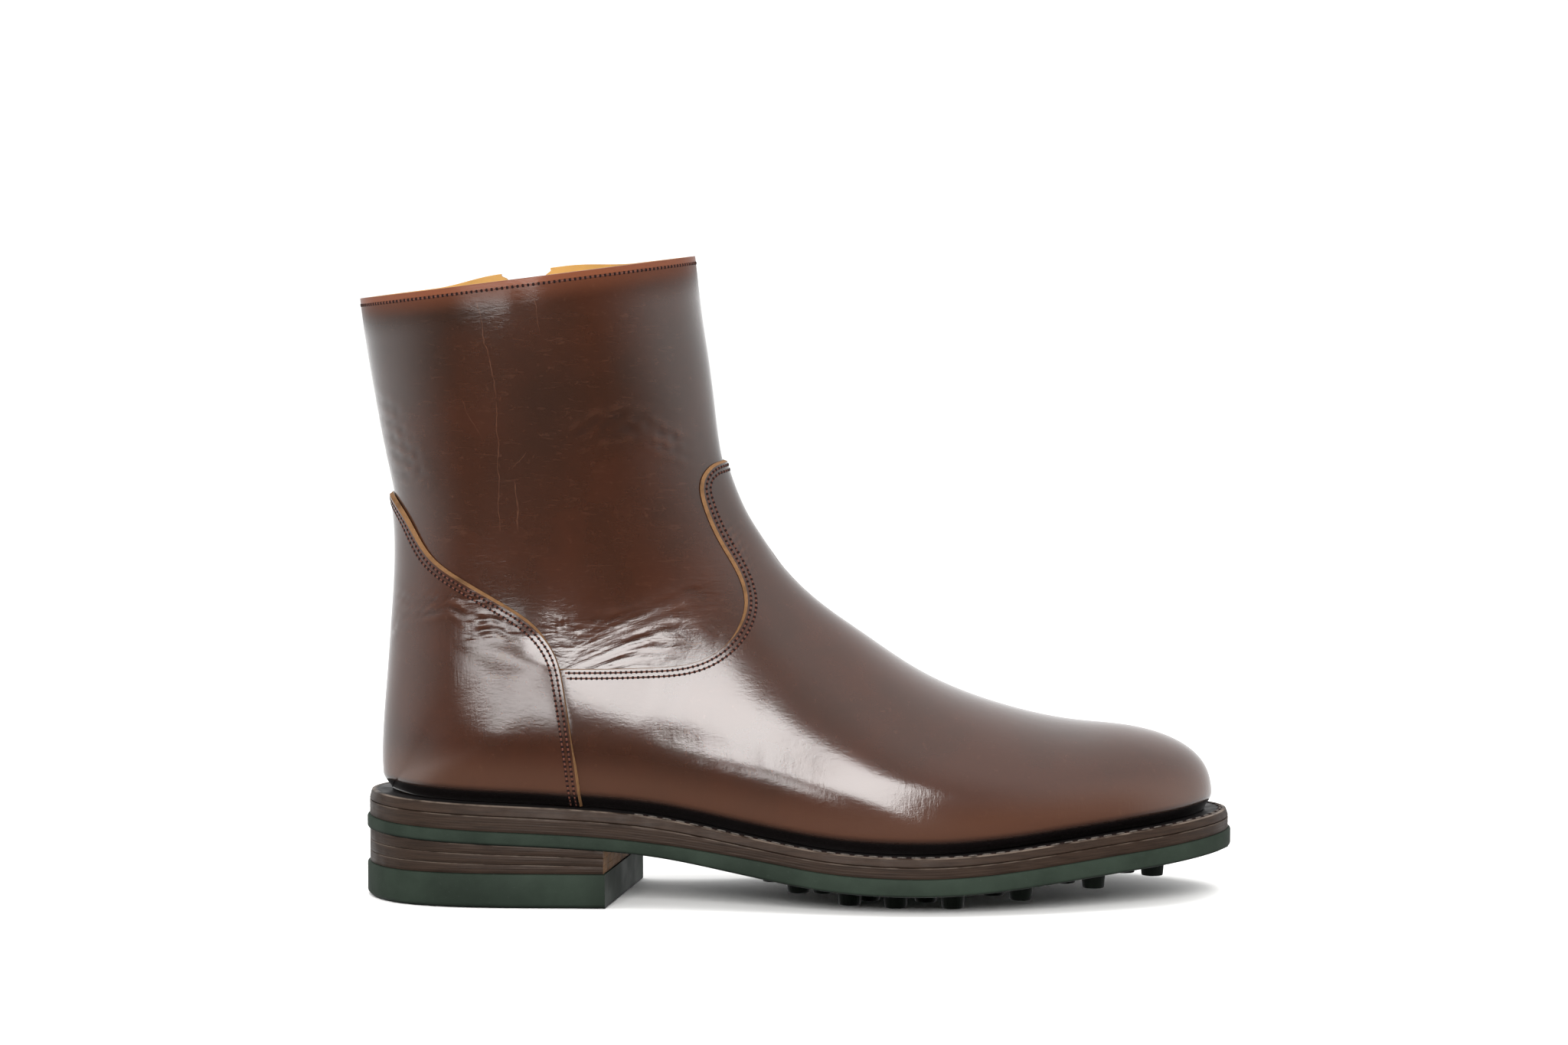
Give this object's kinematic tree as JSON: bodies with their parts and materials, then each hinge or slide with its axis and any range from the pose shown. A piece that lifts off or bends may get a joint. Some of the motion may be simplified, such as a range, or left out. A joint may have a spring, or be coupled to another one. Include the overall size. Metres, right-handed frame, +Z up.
{
  "type": "side-zip ankle boot",
  "caption": "Leather ankle boot with a side zip, a swooping vamp and heel overlay, welted sole, stacked leather heel and lugged rubber outsole; right foot.",
  "frame": {"origin": "on the floor under the middle of the boot's length and width", "axes": "+X from heel to toe, +Y to the inner side of the foot where the zip is, +Z up"},
  "size_m": [0.311, 0.1085, 0.2278],
  "materials": {
    "upper_leather": "glossy waxed dark brown leather",
    "edge_leather": "dyed and burnished cut leather edge",
    "insole_leather": "plain tan leather",
    "rubber": "matt dark green-black rubber",
    "zip_fabric": "woven dark brown tape",
    "zip_metal": "dark gunmetal"
  },
  "bodies": {
    "boot": {"outsole": "rubber", "midsole": "edge_leather", "welt": "edge_leather", "insole": "insole_leather", "heel_lift_1": "edge_leather", "heel_lift_2": "edge_leather", "heel_lift_3": "edge_leather", "heel_top_piece": "rubber", "upper": "upper_leather", "vamp": "upper_leather", "heel_counter": "upper_leather", "zip_tape": "zip_fabric", "zip_chain": "zip_metal", "zip_slider": "zip_metal"},
    "zip_pull_tab": {"zip_pull": "zip_metal"}
  },
  "joints": [
    {"name": "zip_pull_swing", "type": "hinge", "parent": "boot", "child": "zip_pull_tab", "pos_m": [-0.09774, 0.05054, 0.20665], "axis": [0.9936, 0.0367, 0.1072], "range_deg": [-8, 165]}
  ]
}
